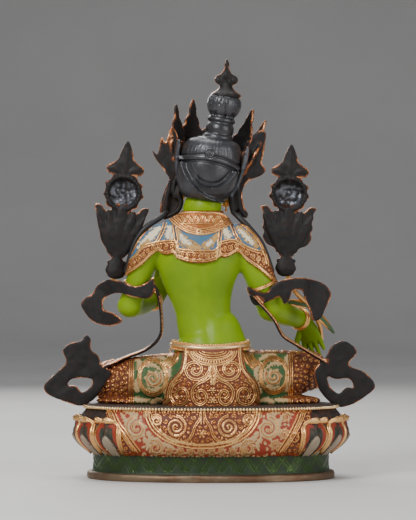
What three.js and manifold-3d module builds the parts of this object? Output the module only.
// A seated Tara in cast copper on an oval lotus pedestal, in millimetres, +Z up. The figure faces -Y.
// The origin is the middle of the pedestal's flat underside. Her left side is +X.
import * as THREE from "three";
import { mergeVertices } from "three/addons/utils/BufferGeometryUtils.js";
import Module from "manifold-3d";

const wasm = await Module();
wasm.setup();

// Driving sizes
const FIGURE_HEIGHT = 280; // seat to the tip of the topknot jewel
const RIM_WIDTH = 208; // the beaded rim of the seat, side to side
const RIM_DEPTH = 148; // the same rim, back to front
const FOOT_RIM_HEIGHT = 6; // the bare copper rim at the bottom
const FOOT_BAND_HEIGHT = 16; // the hatched green band above it
const PETAL_HEIGHT = 30; // the swelling body that carries the petals
const NECK_HEIGHT = 8; // the black shoulder, beads and lip up to the seat
const BEAD_RADIUS = 1.3;
const FOOT_INSET = 3; // how far the bottom rim stands in from the beaded rim
const BROCADE_THICKNESS = 1.4; // the cloth that hangs over the pedestal's back
const BROCADE_HALF_WIDTH = 82;
const PETAL_COUNT = 17;
const PETAL_PITCH = 26.5; // petal to petal along the widest oval
const FLUTE = 0.07; // how deep the foot lotus is fluted, as a share of its radius
const FOOT_LOTUS_RADIUS = 19;
const FOOT_LOTUS_THICKNESS = 9;
const PLATE_THICKNESS = 2.6; // crown leaves, lotus leaves
const SCARF_THICKNESS = 3.2;
const STEM_RADIUS = 2;
const CAPE_THICKNESS = 2;
const GAP = 0.3; // clearance between touching castings
const DEGREE = Math.PI / 180;
const END_TURN = 81 * DEGREE; // how far round its end cap a limb is drawn in

// Derived sizes
const SEAT = FOOT_RIM_HEIGHT + FOOT_BAND_HEIGHT + PETAL_HEIGHT + NECK_HEIGHT;
const DRAWN_HEIGHT = 280; // the figure height that the pose below is drawn at
const K = FIGURE_HEIGHT / DRAWN_HEIGHT;
const HALF_WIDTH = RIM_WIDTH / 2;
const OVAL = (RIM_WIDTH - RIM_DEPTH) / 2; // how much shorter every oval is from front to back
const OVAL_POWER = 2.25;

// Turning three.js geometry into closed solids and back
function solid(geometry) {
  const plain = geometry.clone();
  plain.deleteAttribute("normal");
  plain.deleteAttribute("uv");
  const merged = mergeVertices(plain, 1e-4);
  const index = merged.index.array;
  const triangles = [];
  for (let i = 0; i < index.length; i += 3) {
    const [a, b, c] = [index[i], index[i + 1], index[i + 2]];
    if (a !== b && b !== c && a !== c) triangles.push(a, b, c);
  }
  const build = (triVerts) =>
    new wasm.Manifold(
      new wasm.Mesh({
        numProp: 3,
        vertProperties: new Float32Array(merged.attributes.position.array),
        triVerts: new Uint32Array(triVerts),
      }),
    );
  const made = build(triangles);
  return made.volume() < 0 ? build(triangles.reverse()) : made;
}

function meshOf(name, shape, material) {
  const { vertProperties, triVerts } = shape.getMesh();
  const geometry = new THREE.BufferGeometry();
  geometry.setAttribute("position", new THREE.BufferAttribute(new Float32Array(vertProperties), 3));
  geometry.setIndex(new THREE.BufferAttribute(new Uint32Array(triVerts), 1));
  geometry.computeVertexNormals();
  const mesh = new THREE.Mesh(geometry, material);
  mesh.name = name;
  return mesh;
}

const join = (shapes) => shapes.reduce((whole, shape) => whole.add(shape));

// The largest piece of a cut shape, without the slivers that a cut can leave
const largest = (shape) => shape.decompose().sort((a, b) => b.volume() - a.volume())[0];

const moved = (geometry, matrix) => geometry.clone().applyMatrix4(matrix);

// A limb of oval section through rows of [x, y, z, wide, deep], with its ends drawn in.
// across is the direction in which wide is measured.
function limb(rows, { sides = 7, steps = 1, across = [1, 0, 0], grow = 0 } = {}) {
  const curve = (points) => new THREE.CatmullRomCurve3(points, false, "centripetal");
  const spine = curve(rows.map(([x, y, z]) => new THREE.Vector3(x, y, z)));
  const sizes = curve(rows.map(([, , , wide, deep]) => new THREE.Vector3(wide, deep, 0)));
  const bodySteps = (rows.length - 1) * steps;
  const rings = bodySteps + 2;
  const geometry = new THREE.CylinderGeometry(1, 1, 1, sides, rings);
  const position = geometry.attributes.position;
  const reference = new THREE.Vector3(...across);
  const point = new THREE.Vector3();
  for (let i = 0; i < position.count; i++) {
    const ring = Math.round((position.getY(i) + 0.5) * rings);
    const t = THREE.MathUtils.clamp((ring - 1) / bodySteps, 0, 1);
    const turn = ring === 0 || ring === rings ? END_TURN : 0;
    const along = spine.getTangent(t);
    const side = reference.clone().addScaledVector(along, -reference.dot(along)).normalize();
    const up = side.clone().cross(along);
    const size = sizes.getPoint(t);
    const [wide, deep] = [size.x + grow, size.y + grow];
    const reach = Math.min(wide, deep) * Math.sin(turn) * (ring === 0 ? -1 : 1);
    point
      .copy(spine.getPoint(t))
      .addScaledVector(along, reach)
      .addScaledVector(side, position.getX(i) * wide * Math.cos(turn))
      .addScaledVector(up, position.getZ(i) * deep * Math.cos(turn));
    position.setXYZ(i, point.x, point.y, point.z);
  }
  return solid(geometry);
}

function ball([x, y, z], [rx, ry, rz], grow = 0, sides = 8) {
  const geometry = new THREE.SphereGeometry(1, sides, Math.round(sides * 0.6));
  geometry.rotateX(Math.PI / 2);
  geometry.scale(rx + grow, ry + grow, rz + grow);
  geometry.translate(x, y, z);
  return solid(geometry);
}

// A flat plate with its outline through [x, z] points, and its thickness about y = 0
function plate(outline, thickness, hole) {
  const corners = (points) => points.map(([x, z]) => new THREE.Vector2(x, z));
  const shape = new THREE.Shape(corners(outline));
  if (hole) shape.holes.push(new THREE.Path(corners(hole)));
  const geometry = new THREE.ExtrudeGeometry(shape, { depth: thickness, bevelEnabled: false });
  geometry.translate(0, 0, -thickness / 2);
  geometry.rotateX(Math.PI / 2);
  return geometry;
}

// A symmetrical outline from its right half, which runs from the foot to the tip on the axis
const mirrored = (half) => [...half, ...half.filter(([x]) => x > 0).reverse().map(([x, z]) => [-x, z])];

// Moves each point of a plate along Y, by how far it is from the middle of the figure
function bentBack(geometry, nearSide, farSide, from, to) {
  const position = geometry.attributes.position;
  for (let i = 0; i < position.count; i++) {
    const share = THREE.MathUtils.smoothstep(Math.abs(position.getX(i)), from, to);
    position.setY(i, position.getY(i) + THREE.MathUtils.lerp(nearSide, farSide, share));
  }
  return geometry;
}

// A flat strip through rows of [x, y, z, width], with its width along Y as far as the path lets it
function strip(rows, thickness) {
  const flat = rows.map(([x, y, z, width]) => [x, y, z, width / 2, thickness / 2]);
  return limb(flat, { sides: 6, across: [0, 1, 0] });
}

// The oval plan
function ovalPoint(angle, halfWidth) {
  const bend = (value) => Math.sign(value) * Math.abs(value) ** (2 / OVAL_POWER);
  return [halfWidth * bend(Math.cos(angle)), (halfWidth - OVAL) * bend(Math.sin(angle))];
}

function ovalAngleNear(targetLength, halfWidth) {
  const step = 0.002;
  let [angle, length] = [-Math.PI / 2, 0];
  while (length < Math.abs(targetLength)) {
    const [x0, y0] = ovalPoint(angle, halfWidth);
    const [x1, y1] = ovalPoint(angle + step, halfWidth);
    length += Math.hypot(x1 - x0, y1 - y0);
    angle += step;
  }
  return targetLength < 0 ? -Math.PI - angle : angle;
}

// An oval turned body from a profile of [half width, z]
function ovalBody(profile, grow = 0, segments = 28) {
  const points = profile.map(([r, z]) => new THREE.Vector2(r, z));
  const geometry = new THREE.LatheGeometry(points, segments);
  const position = geometry.attributes.position;
  for (let i = 0; i < position.count; i++) {
    const radius = Math.hypot(position.getX(i), position.getZ(i));
    const [x, y] =
      radius < 1e-6 ? [0, 0] : ovalPoint(Math.atan2(position.getX(i), position.getZ(i)), radius + grow);
    position.setXYZ(i, x, y, position.getY(i));
  }
  return solid(geometry);
}

// Heights of the pedestal's mouldings
const Z_BAND = FOOT_RIM_HEIGHT;
const Z_BODY = Z_BAND + FOOT_BAND_HEIGHT;
const Z_NECK = Z_BODY + PETAL_HEIGHT;
const Z_BEADS = SEAT - 1.4 * BEAD_RADIUS; // the beads' middle
const LIP = 3; // how far the lip of the seat stands in from the beads
const FOOT = HALF_WIDTH - FOOT_INSET;
const BAND_INSET = 4.5;
const SWELL = 4; // how far the body stands out past the beaded rim
const WIDEST = HALF_WIDTH + SWELL;
const SHOULDER = HALF_WIDTH + 2; // the black shoulder between the petal tips and the beads
const EDGE = 0.8; // the worn round of a moulding's edge

function pedestalProfile(grow) {
  return [
    [0, -grow],
    [FOOT, -grow],
    [FOOT, Z_BAND - EDGE],
    [FOOT - BAND_INSET, Z_BAND + EDGE],
    [FOOT - BAND_INSET - EDGE, Z_BAND + FOOT_BAND_HEIGHT * 0.5],
    [FOOT - BAND_INSET, Z_BODY],
    [WIDEST - 2, Z_BODY + PETAL_HEIGHT * 0.22],
    [WIDEST, Z_BODY + PETAL_HEIGHT * 0.5],
    [WIDEST - 1, Z_BODY + PETAL_HEIGHT * 0.8],
    [SHOULDER, Z_NECK],
    [HALF_WIDTH - LIP, Z_BEADS - 2 * BEAD_RADIUS],
    [HALF_WIDTH, Z_BEADS - BEAD_RADIUS],
    [HALF_WIDTH, Z_BEADS + BEAD_RADIUS],
    [HALF_WIDTH - LIP, SEAT + grow],
    [0, SEAT + grow],
  ];
}

// One lotus petal on the oval body, at a length along the oval from the middle of the front
function petal(length, grow) {
  const angle = ovalAngleNear(length, WIDEST);
  const [bx, by] = ovalPoint(angle + 0.01, WIDEST);
  const [ax, ay] = ovalPoint(angle - 0.01, WIDEST);
  const across = new THREE.Vector3(bx - ax, by - ay, 0).normalize();
  const [px, py] = ovalPoint(angle, WIDEST);
  const out = new THREE.Vector3(across.y, -across.x, 0);
  const rows = [
    [-6, 0.06, 0.38, 3.4],
    [0.5, 0.55, 0.47, 4.2],
    [5, 0.98, 0.1, 1.6],
  ].map(([stand, height, wide, deep]) => [
    px + out.x * stand,
    py + out.y * stand,
    Z_BODY + PETAL_HEIGHT * height,
    PETAL_PITCH * wide,
    deep,
  ]);
  return limb(rows, { sides: 4, across: across.toArray(), grow });
}

// The brocade that hangs over the back: the body's swelling, thickened and cut square at its sides
function brocade() {
  const swelling = pedestalProfile(0).filter(([r, z]) => z > Z_BODY && z <= Z_NECK && r > 0);
  const outside = swelling.map(([r, z]) => [r + BROCADE_THICKNESS, z]);
  const cloth = ovalBody([[0, Z_BODY + 2], [FOOT, Z_BODY + 2], ...outside, [0, Z_NECK]]);
  const block = new THREE.BoxGeometry(2 * BROCADE_HALF_WIDTH, RIM_WIDTH, 4 * PETAL_HEIGHT);
  block.translate(0, RIM_WIDTH / 2, Z_NECK);
  return cloth.intersect(solid(block));
}

// The small lotus under the hanging right foot, on a stalk from the pedestal's front
const FOOT_LOTUS = [-50 * K, -109 * K, SEAT - 29 * K]; // the middle of its top
const FOOT_LOTUS_PETALS = 9;

function footLotus(grow) {
  const [x, y, top] = FOOT_LOTUS;
  const profile = [
    [0, -FOOT_LOTUS_THICKNESS - grow],
    [FOOT_LOTUS_RADIUS * 0.45 + grow, -FOOT_LOTUS_THICKNESS - grow],
    [FOOT_LOTUS_RADIUS + grow, -FOOT_LOTUS_THICKNESS * 0.4],
    [FOOT_LOTUS_RADIUS * 0.85 + grow, grow],
    [0, grow],
  ].map(([r, z]) => new THREE.Vector2(r, z));
  const cup = new THREE.LatheGeometry(profile, 2 * FOOT_LOTUS_PETALS);
  const position = cup.attributes.position;
  for (let i = 0; i < position.count; i++) {
    const turn = Math.atan2(position.getZ(i), position.getX(i));
    const flute = 1 + FLUTE * Math.cos(FOOT_LOTUS_PETALS * turn);
    position.setXYZ(i, position.getX(i) * flute, position.getY(i), position.getZ(i) * flute);
  }
  cup.rotateX(Math.PI / 2);
  cup.translate(x, y, top);
  const stalk = limb(
    [
      [x * 0.8, -(RIM_DEPTH / 2 - 8), Z_BODY - 4, 6, 5],
      [x * 0.95, y + FOOT_LOTUS_RADIUS, Z_BAND + 6, 5, 5],
      [x, y + 4, top - FOOT_LOTUS_THICKNESS, 5, 5],
    ],
    { sides: 8, steps: 2, grow },
  );
  return solid(cup).add(stalk);
}

function pedestalSolid(grow = 0) {
  const core = ovalBody(pedestalProfile(grow), grow);
  const first = -(PETAL_COUNT - 1) / 2;
  const petals = Array.from({ length: PETAL_COUNT }, (_, i) => petal((first + i) * PETAL_PITCH, grow));
  return join([core, ...petals, brocade(), footLotus(grow)]);
}

// The figure is drawn from the middle of the seat, at DRAWN_HEIGHT; onSeat scales it and sets it there
const onSeat = new THREE.Matrix4().makeTranslation(0, 0, SEAT).scale(new THREE.Vector3(K, K, K));

const placed = (shape) => shape.transform([...onSeat.elements]);

// The head's own frame: its middle, and a lean of the crown towards her right
const HEAD_MIDDLE = [1.5, 3, 194];
const HEAD_LEAN = -10 * DEGREE;
const onHead = new THREE.Matrix4()
  .makeTranslation(...HEAD_MIDDLE)
  .multiply(new THREE.Matrix4().makeRotationY(HEAD_LEAN));

const withHead = (shape) => shape.transform([...onHead.elements]);

// Torso, hips and neck: rows of [x, y, z, half width, half depth] from the seat up
const HIP_MIDDLE = 17;
const TORSO = [
  [0, HIP_MIDDLE, -2, 37, 30],
  [0, HIP_MIDDLE, 20, 39, 31],
  [0, 15, 36, 34, 26],
  [0, 13, 47, 30, 21],
  [2, 12, 58, 26.5, 17.5],
  [5.5, 12, 67, 22.6, 15.5],
  [6.5, 12, 76, 22.6, 15.5],
  [8, 13, 88, 25.5, 17],
  [9.5, 14, 112, 34, 19],
  [9, 13, 124, 38, 19],
  [8.5, 13, 133, 38, 18],
  [8, 12, 141, 33, 16],
  [7, 11, 148, 24, 14],
  [6.5, 8, 154, 16.5, 13],
  [4, 4, 174, 14.5, 12.5],
];

const LEFT_ARM = [
  [38, 13, 132, 12, 13],
  [48, 12, 127, 12, 11.5],
  [55, 10, 113, 10.6, 10.6],
  [60, 7, 98, 9.8, 9.8],
  [66, 4, 81, 9.4, 9.4],
];
const LEFT_FOREARM = [
  [66, 4, 79, 9.4, 9.4],
  [55, -16, 81, 8.4, 8.4],
  [40, -34, 85, 6.2, 6.2],
];
const RIGHT_ARM = [
  [-22, 13, 133, 12, 13],
  [-33, 13, 126, 12, 12],
  [-41, 10, 100, 11.6, 11.6],
  [-48, 4, 79, 11, 11],
];
const RIGHT_FOREARM = [
  [-48, 4, 78, 11, 11],
  [-62, -16, 72, 9.2, 9.2],
  [-77, -36, 67, 6.6, 6.6],
];
const LEFT_THIGH = [
  [14, 18, 21, 22, 22],
  [50, 0, 18, 21, 20],
  [80, -20, 17, 18, 17.5],
];
const LEFT_SHIN = [
  [80, -20, 16, 16, 16],
  [46, -44, 12, 12.5, 12.5],
  [4, -52, 11, 9, 9],
];
const RIGHT_THIGH = [
  [-14, 18, 21, 22, 22],
  [-48, -4, 22, 21, 19],
  [-81, -32, 26, 16, 15.5],
];
const RIGHT_SHIN = [
  [-81, -32, 26, 15, 15],
  [-70, -58, 18, 12.5, 12.5],
  [-58, -84, -3, 10, 10],
  [-49, -100, -18, 7.4, 7.4],
];
const LEFT_FOOT = [
  [4, -52, 11, 8, 8],
  [-12, -51, 11, 8, 5.5],
  [-30, -44, 13, 6, 3.4],
];
const RIGHT_FOOT = [
  [-48, -99, -22, 7, 7],
  [-50, -110, -24, 7.6, 5.4],
  [-53, -126, -26.5, 6.4, 3],
];

// A hand: a palm with four fingers and a thumb. along points from wrist to fingertips, and across
// to the little finger.
function hand(wrist, along, across, length, curl, grow) {
  const [w, a, c] = [wrist, along, across].map((v) => new THREE.Vector3(...v));
  a.normalize();
  c.addScaledVector(a, -c.dot(a)).normalize();
  const palmSide = new THREE.Vector3().crossVectors(a, c);
  const at = (reach, side, lift) => {
    const point = w.clone().addScaledVector(a, reach * length);
    return point.addScaledVector(c, side * length).addScaledVector(palmSide, lift * length).toArray();
  };
  const palm = limb(
    [
      [...at(0, 0, 0), 0.18 * length, 0.14 * length],
      [...at(0.25, 0, 0), 0.25 * length, 0.13 * length],
      [...at(0.48, 0, 0), 0.26 * length, 0.1 * length],
    ],
    { sides: 6, across: c.toArray(), grow },
  );
  const fingers = [-0.2, -0.07, 0.06, 0.19].map((side, i) => {
    const reach = [0.92, 1, 0.95, 0.82][i];
    const bend = curl * [1, 0.35, 0.3, 0.3][i];
    const thick = 0.062 * length;
    return limb(
      [
        [...at(0.45, side, 0), thick, thick],
        [...at(0.45 + (reach - 0.45) * 0.55, side * 1.1, bend * 0.35), thick, thick],
        [...at(reach, side * 1.15, bend), thick * 0.7, thick * 0.7],
      ],
      { sides: 4, across: c.toArray(), grow },
    );
  });
  const thumb = limb(
    [
      [...at(0.15, -0.16, 0), 0.08 * length, 0.08 * length],
      [...at(0.42, -0.34, 0.1 + curl * 0.3), 0.07 * length, 0.07 * length],
      [...at(0.62, -0.32, 0.12 + curl * 0.7), 0.05 * length, 0.05 * length],
    ],
    { sides: 4, across: c.toArray(), grow },
  );
  return join([palm, ...fingers, thumb]);
}

// The hair, from the nape to the topknot: [radius, z] in the head's frame
const HAIR = [
  [0, -29],
  [12, -28.5],
  [19, -25],
  [23, -17],
  [24.6, -6],
  [24.6, 4],
  [23, 13],
  [19, 20],
  [14.6, 23.5],
  [11.8, 29.5],
  [12.2, 36],
  [10.2, 41],
  [12.6, 45],
  [13.9, 50],
  [13.2, 55.5],
  [9, 59.5],
  [0, 60.5],
];

const TOPKNOT_SHIFT = -3.3; // the topknot stands a little to her right of the head's axis
const TOPKNOT_FROM = [14, 26]; // where the hair bends over to it

function headSolid(grow) {
  const hair = new THREE.LatheGeometry(
    HAIR.map(([r, z], i) => {
      const end = i === 0 ? -1 : i === HAIR.length - 1 ? 1 : 0;
      return new THREE.Vector2(r === 0 ? 0 : r + grow, z + grow * end);
    }),
    10,
  );
  hair.rotateX(Math.PI / 2);
  const position = hair.attributes.position;
  for (let i = 0; i < position.count; i++) {
    const share = THREE.MathUtils.smoothstep(position.getZ(i), ...TOPKNOT_FROM);
    position.setX(i, position.getX(i) + TOPKNOT_SHIFT * share);
  }
  const ears = [-1, 1].map((side) =>
    limb(
      [
        [side * 21, -3, 2, 3.4, 2.4],
        [side * 22, -3, -10, 3.2, 2.4],
        [side * 20.5, -4, -24, 3, 2.4],
      ],
      { sides: 5, across: [0, 1, 0], grow },
    ),
  );
  const nose = limb(
    [
      [0, -24, -6, 1.6, 1.6],
      [0, -27.4, -17, 3, 2.4],
    ],
    { sides: 4, grow },
  );
  return withHead(
    join([
      solid(hair),
      ball([0, -8, -5], [19.5, 17.5, 24], grow),
      ball([0, -14, -24], [9, 9, 8], grow),
      ball([0, 13, -12], [21.5, 13.5, 19], grow),
      nose,
      ...ears,
    ]),
  );
}

// The cape's lower edge seen from behind, from her left arm to her right, as [x, z] from the seat
const CAPE_EDGE = [
  [80, 98],
  [70, 104],
  [57, 112],
  [49, 119.5],
  [43, 124],
  [36, 121],
  [31, 122],
  [26, 117.5],
  [18, 115],
  [8, 114.5],
  [-1, 115.5],
  [-7, 119.5],
  [-14, 119.5],
  [-22, 123],
  [-29, 116],
  [-39, 109],
  [-49, 101],
  [-62, 94],
];
const CAPE_TOP = 155;

// Everything above the cape's lower edge
function capeRegion() {
  const outline = [...CAPE_EDGE, [-62, CAPE_TOP], [80, CAPE_TOP]];
  return solid(plate(outline, RIM_DEPTH));
}

function shoulders(grow) {
  return join([
    limb(TORSO, { sides: 12, grow }),
    limb(LEFT_ARM, { across: [0, 1, 0], grow }),
    limb(RIGHT_ARM, { across: [0, 1, 0], grow }),
  ]);
}

function belt(grow) {
  return limb(
    [
      [0, 13, 43, 32.6, 23.5],
      [0, 13, 47, 33.6, 24.5],
      [1, 13, 51, 32.2, 23],
    ],
    { sides: 12, grow },
  );
}

function seatedLegs(grow) {
  const upright = { across: [0, 0, 1], grow };
  return join([
    limb(LEFT_THIGH, upright),
    limb(LEFT_SHIN, upright),
    limb(RIGHT_THIGH, upright),
    limb(RIGHT_SHIN, upright),
    limb(LEFT_FOOT, { across: [0, 1, 0], grow }),
    limb(RIGHT_FOOT, { grow }),
    ball([0, -22, 6], [56, 32, 13], grow, 9),
    ball([2, -12, 0], [92, 34, 7], grow, 9),
  ]);
}

// The lobed panel of the skirt that hangs down her back, as half of an [x, z] outline from the seat
const PANEL_HALF = [
  [38, -2],
  [37.5, 8],
  [34, 17],
  [29, 23],
  [23, 30],
  [21, 37],
  [23, 44],
  [0, 44],
];
const PANEL_THICKNESS = 1.5;

function backPanel(grow) {
  const behind = RIM_DEPTH / 2 + HIP_MIDDLE;
  const region = plate(mirrored(PANEL_HALF), RIM_DEPTH).translate(0, behind, 0);
  const hips = limb(TORSO.slice(0, 4), { sides: 12, grow: PANEL_THICKNESS + grow });
  return hips.intersect(solid(region));
}

function figureSolid(grow = 0) {
  const cape = shoulders(CAPE_THICKNESS + grow).intersect(capeRegion());
  const breasts = [-1, 1].map((side) => ball([9 + side * 14, -3, 108], [11, 9.5, 10.5], grow));
  const body = join([
    shoulders(grow),
    cape,
    ...breasts,
    belt(grow),
    backPanel(grow),
    seatedLegs(grow),
    limb(LEFT_FOREARM, { across: [0, 0, 1], grow }),
    limb(RIGHT_FOREARM, { across: [0, 0, 1], grow }),
    hand([38, -36, 87], [-0.2, -0.1, 1], [1, 0.2, 0], 30, 0.16, grow),
    hand([-78, -38, 66], [-0.35, -0.3, -1], [-1, 0.3, 0.3], 34, -0.08, grow),
    headSolid(grow),
  ]);
  return placed(body);
}

// The bow that stands beside each ear, and its tail that falls to the shoulder
const BOW = [
  [23, 20],
  [30, 27],
  [34, 37],
  [38, 26],
  [44, 22],
  [44, 14],
  [49, 8],
  [41, -4],
  [34, -11],
  [31, -20],
  [34, -31],
  [38, -43],
  [29, -41],
  [25, -30],
  [23, -16],
  [23, 0],
];

// The five-leaved crown with its side bows and ear ornaments, in the head's frame
const BAND_RADIUS = 26.5;
const BAND_FROM = -3;
const BAND_WIDTH = 17;
const BAND_REACH = 98 * DEGREE; // how far it runs round from the middle of the brow
const LEAF_STEP = 37 * DEGREE;
const LEAF_TILT = 16 * DEGREE;

function crownSolid() {
  const at = (turn, radius, lift, tilt) =>
    new THREE.Matrix4()
      .makeRotationZ(turn)
      .multiply(new THREE.Matrix4().makeTranslation(0, -radius, lift))
      .multiply(new THREE.Matrix4().makeRotationX(tilt));
  const leafHalf = [
    [7, -1],
    [10, 9],
    [11, 20],
    [8, 31],
    [4, 38],
    [2.6, 46],
    [0, 54],
  ];
  const leaves = [0, 1, -1, 2, -2].map((place) => {
    const size = [1, 0.95, 0.86][Math.abs(place)];
    const turn = place * LEAF_STEP;
    const point = plate(mirrored(leafHalf.map(([x, z]) => [x * size, z * size])), PLATE_THICKNESS);
    return solid(moved(point, at(turn, BAND_RADIUS, 0, LEAF_TILT)));
  });
  const [from, to] = [-Math.PI / 2 - BAND_REACH, -Math.PI / 2 + BAND_REACH];
  const wall = new THREE.Shape();
  wall.absarc(0, 0, BAND_RADIUS + 2.2, from, to, false);
  wall.absarc(0, 0, BAND_RADIUS - 1.2, to, from, true);
  const band = new THREE.ExtrudeGeometry(wall, { depth: BAND_WIDTH, bevelEnabled: false, curveSegments: 7 });
  band.translate(0, 0, BAND_FROM);
  const sides = [-1, 1].map((side) => {
    const winged = plate(BOW.map(([x, z]) => [side * x, z]), PLATE_THICKNESS);
    winged.translate(0, -4, 0);
    const drop = ball([side * 29.5, -6, -26], [5, 5, 6.5]);
    return solid(winged).add(drop);
  });
  return placed(withHead(join([solid(band), ...leaves, ...sides])));
}

// The jewel on the topknot: a skirt, a leaf with two side buds, and a tip. It stands nearly upright.
const JEWEL_FOOT = [-12, 3, 250.6];
const JEWEL_LEAN = -2 * DEGREE;

function jewelSolid() {
  const onTopknot = new THREE.Matrix4()
    .makeTranslation(...JEWEL_FOOT)
    .multiply(new THREE.Matrix4().makeRotationY(JEWEL_LEAN));
  const skirt = new THREE.LatheGeometry(
    [
      [0, 0],
      [12.6, -1],
      [12, 1.4],
      [6, 6],
      [4.4, 9],
      [0, 10],
    ].map(([r, z]) => new THREE.Vector2(r, z)),
    10,
  );
  skirt.rotateX(Math.PI / 2);
  const leafHalf = [
    [3, 6],
    [6, 9],
    [9.4, 13],
    [7, 17],
    [3, 19],
    [0, 24],
  ];
  const middle = solid(plate(mirrored(leafHalf), PLATE_THICKNESS * 1.4));
  const buds = [-1, 1].map((side) => ball([side * 6.4, 0, 12], [3, 2.2, 3.2], 0, 6));
  const tip = ball([0, 0, 25.8], [2.2, 2, 3.6], 0, 6);
  const jewel = join([solid(skirt), middle, ...buds, tip]);
  return placed(jewel.transform([...onTopknot.elements]));
}

// Half outlines of a lotus in flower, from its foot: the foot and cup, and the three-lobed leaf on top
const CUP_HALF = [
  [7.5, 0],
  [9, 6],
  [7.5, 11.5],
  [4.5, 16],
  [8, 22.5],
  [14, 28],
  [17, 38],
  [18.5, 47],
  [21.5, 57],
  [16, 59.5],
  [9, 55],
  [3.5, 58],
  [0, 52],
];
const TREFOIL_HALF = [
  [6, 0],
  [13, 2],
  [15, 6.5],
  [10, 11],
  [6, 13],
  [3.5, 20],
  [0, 28],
];
const BLOSSOM_RADIUS = 16.5;
const BLOSSOM_HEIGHT = 69; // of its middle above the foot
const SCALLOPS = 9;
const TREFOIL_HEIGHT = 83;
const LEFT_LOTUS = [78, 3, 103]; // the middle of its foot, from the seat
const RIGHT_LOTUS = [-60.5, 3, 105];
const LEFT_LEAN = -5.4 * DEGREE;
const RIGHT_LEAN = -2.7 * DEGREE;

// One lotus beside the shoulder: it stands at foot and leans by an angle in its own plane
function lotusSolid(foot, lean, stem) {
  const ring = Array.from({ length: SCALLOPS * 2 }, (_, i) => {
    const turn = (Math.PI * i) / SCALLOPS;
    const radius = BLOSSOM_RADIUS * (0.92 + 0.08 * Math.abs(Math.cos((SCALLOPS * turn) / 2)));
    return [radius * Math.sin(turn), BLOSSOM_HEIGHT + radius * Math.cos(turn)];
  });
  const opening = new THREE.CylinderGeometry(10.6, 9, 9, 10);
  opening.translate(0, 1.5, BLOSSOM_HEIGHT);
  const trefoil = plate(mirrored(TREFOIL_HALF.map(([x, z]) => [x, z + TREFOIL_HEIGHT])), PLATE_THICKNESS);
  const flat = join([
    solid(plate(mirrored(CUP_HALF), PLATE_THICKNESS * 1.3)),
    solid(plate(ring, PLATE_THICKNESS)),
    solid(trefoil),
  ]);
  const bowl = new THREE.LatheGeometry(
    [
      [0, -8],
      [9, -5.6],
      [13.6, 2],
      [11.2, 2],
      [7.4, -3.6],
      [0, -5.4],
    ].map(([r, h]) => new THREE.Vector2(r, h)),
    10,
  );
  bowl.translate(0, 0, BLOSSOM_HEIGHT);
  const whole = flat.subtract(solid(opening)).add(solid(bowl));
  const leaning = new THREE.Matrix4().makeRotationY(lean);
  const stand = new THREE.Matrix4().makeTranslation(...foot).multiply(leaning);
  return whole.transform([...stand.elements]).add(limb(stem, { sides: 6, steps: 2 }));
}

const scaledRows = (rows) => rows.map(([x, y, z, ...sizes]) => [x * K, y * K, SEAT + z * K, ...sizes]);

// A lotus follows the figure: its foot and its stem are drawn from the seat
function lotus([x, y, z], lean, stem) {
  return lotusSolid([x * K, y * K, SEAT + z * K], lean, scaledRows(stem));
}

const LEFT_STEM = [
  [35, -39, 104, STEM_RADIUS, STEM_RADIUS],
  [54, -34, 98, STEM_RADIUS, STEM_RADIUS],
  [74, -18, 95, STEM_RADIUS, STEM_RADIUS],
  [80, -4, 102, STEM_RADIUS, STEM_RADIUS],
  [78, 1.5, 114, STEM_RADIUS, STEM_RADIUS],
];
const RIGHT_STEM = [
  [-91.5, -46, 52, STEM_RADIUS, STEM_RADIUS],
  [-89.4, -38.5, 64, STEM_RADIUS, STEM_RADIUS],
  [-80, -21, 80, STEM_RADIUS, STEM_RADIUS],
  [-68, -5, 92, STEM_RADIUS, STEM_RADIUS],
  [-61, 2, 108, STEM_RADIUS, STEM_RADIUS],
];

// The scarf beside each hip, drawn from the seat as [x, z] outlines: a hook over the arm, a strip
// that falls over the thigh, and a curl beside the knee
const LEFT_HOOK = [
  [46, 102],
  [54, 98],
  [62, 96],
  [71, 99.5],
  [82, 101.5],
  [92, 97],
  [97, 89.5],
  [103, 86],
  [106, 80],
  [100, 70],
  [94, 65.5],
  [82, 63],
  [74, 65.5],
  [72, 69],
  [79, 74],
  [87, 77],
  [87, 84],
  [83, 88],
  [74, 90],
  [62, 86.5],
  [48, 87],
];
const RIGHT_HOOK = [
  [-29, 96],
  [-38, 92],
  [-45, 91],
  [-50, 97],
  [-59, 101.5],
  [-73, 103],
  [-87, 100],
  [-95, 95],
  [-98, 88],
  [-94, 79],
  [-89, 69],
  [-82, 68],
  [-80, 76],
  [-76, 84],
  [-74, 92],
  [-66, 92],
  [-64, 85],
  [-59, 81],
  [-56, 87],
  [-48, 84],
  [-36, 80],
  [-31, 87],
];
const LEFT_CURL = [
  [81, 25],
  [89, 31],
  [92, 39],
  [98, 44],
  [98, 52],
  [102, 56],
  [106, 51],
  [115, 49],
  [121, 43],
  [118, 34],
  [125, 26],
  [137, 15],
  [134, 8],
  [123, 3],
  [107, -2],
  [96, 3],
  [88, 13],
];
const LEFT_CURL_HOLE = [
  [117, 15],
  [113, 20],
  [98, 20.5],
  [97, 15],
  [105, 9],
  [110, 14],
];
const RIGHT_CURL = [
  [-84, 27],
  [-89, 33],
  [-94, 38],
  [-98, 46],
  [-106, 51],
  [-113, 49],
  [-119, 42],
  [-113, 34],
  [-114, 30],
  [-126, 25],
  [-135, 14],
  [-126, 6],
  [-117, 0],
  [-106, -3],
  [-97, 1],
  [-89, 10],
  [-85, 19],
];
const RIGHT_CURL_HOLE = [
  [-95, 22],
  [-101, 20],
  [-113, 20],
  [-116, 13],
  [-110, 13],
  [-104, 8],
  [-97, 14],
];
const LEFT_STRIP = [
  [46, 17, 97, 9],
  [42, 14, 86, 9],
  [40, 10, 66, 9],
  [42, 6, 54, 10],
  [53, 0, 44, 11],
  [68, -4, 38, 12],
  [86, -3, 30, 9],
];
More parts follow.
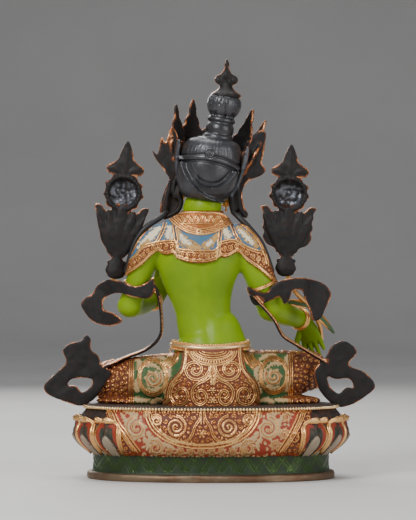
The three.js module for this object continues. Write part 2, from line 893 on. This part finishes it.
const RIGHT_STRIP = [
  [-32, 20, 90, 9],
  [-50, 17, 70, 9],
  [-58, 10, 56, 9],
  [-68, 2, 49, 10],
  [-78, -3, 43, 11],
  [-93, -3, 34, 9],
];

// The hook lies behind the arm and bends forward to the lotus's plane on its way out
const HOOK_BEHIND = 19;
const HOOK_OUTSIDE = 2;
const HOOK_BEND = [62, 96];

function scarfSolid(hook, path, curl, hole) {
  const inPlace = (points) => points.map(([x, z]) => [x * K, SEAT + z * K]);
  const [from, to] = HOOK_BEND.map((x) => x * K);
  const upper = bentBack(plate(inPlace(hook), SCARF_THICKNESS), HOOK_BEHIND * K, HOOK_OUTSIDE, from, to);
  const lower = plate(inPlace(curl), SCARF_THICKNESS, inPlace(hole)).translate(0, -1, 0);
  return join([solid(upper), solid(lower), strip(scaledRows(path), SCARF_THICKNESS)]);
}

// Colours of the finish
const gilt = new THREE.MeshStandardMaterial({ color: 0xc79a62, metalness: 0.9, roughness: 0.4 });
const skin = new THREE.MeshStandardMaterial({ color: 0x86a81c, metalness: 0, roughness: 0.35 });
const black = new THREE.MeshStandardMaterial({ color: 0x1c1c1e, metalness: 0, roughness: 0.45 });

// Assembly: each piece is cut clear of the ones that it touches
const clearOf = (shape, ...others) => largest(others.reduce((left, other) => left.subtract(other), shape));
const pedestal = pedestalSolid();
const pedestalClear = pedestalSolid(GAP);
const figure = clearOf(figureSolid(), pedestalClear);
const figureClear = figureSolid(GAP);
const crown = clearOf(crownSolid(), figureClear);
const jewel = clearOf(jewelSolid(), figureClear);
const leftScarf = scarfSolid(LEFT_HOOK, LEFT_STRIP, LEFT_CURL, LEFT_CURL_HOLE);
const rightScarf = scarfSolid(RIGHT_HOOK, RIGHT_STRIP, RIGHT_CURL, RIGHT_CURL_HOLE);
const scarfLeft = clearOf(leftScarf, figureClear, pedestalClear);
const scarfRight = clearOf(rightScarf, figureClear, pedestalClear);
const lotusLeft = clearOf(lotus(LEFT_LOTUS, LEFT_LEAN, LEFT_STEM), figureClear, scarfLeft);
const lotusRight = clearOf(lotus(RIGHT_LOTUS, RIGHT_LEAN, RIGHT_STEM), figureClear, scarfRight);

const tara = new THREE.Group();
tara.add(
  meshOf("pedestal", pedestal, gilt),
  meshOf("figure", figure, skin),
  meshOf("crown", crown, black),
  meshOf("topknot_jewel", jewel, black),
  meshOf("lotus_left", lotusLeft, black),
  meshOf("lotus_right", lotusRight, black),
  meshOf("scarf_left", scarfLeft, black),
  meshOf("scarf_right", scarfRight, black),
);
export default tara;
